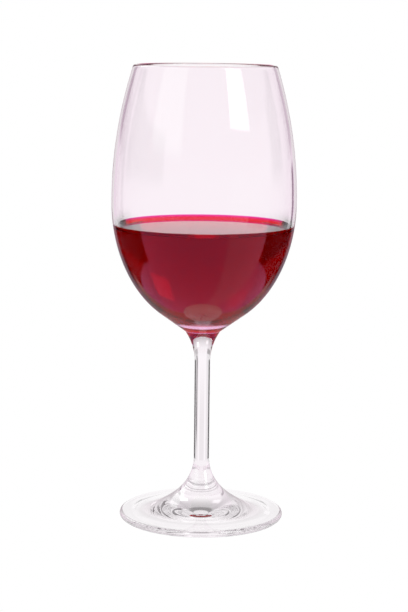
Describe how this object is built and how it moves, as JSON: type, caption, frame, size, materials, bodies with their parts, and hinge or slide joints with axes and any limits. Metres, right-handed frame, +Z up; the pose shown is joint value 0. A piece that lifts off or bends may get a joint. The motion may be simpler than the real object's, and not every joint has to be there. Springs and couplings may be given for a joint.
{
  "type": "glass of red wine",
  "caption": "Stemmed wine glass with a tall bowl that closes in at the rim, part filled with red wine, standing on a round foot.",
  "frame": {"origin": "middle of the foot's underside, on the surface it stands on", "axes": "+Z up along the stem and the glass's axis; the shape is round, so X and Y are alike"},
  "size_m": [0.0912, 0.0912, 0.226],
  "materials": {
    "glass": "clear, polished",
    "wine": "clear deep red liquid"
  },
  "bodies": {
    "root": {"glass": "glass", "wine": "wine"}
  },
  "joints": []
}
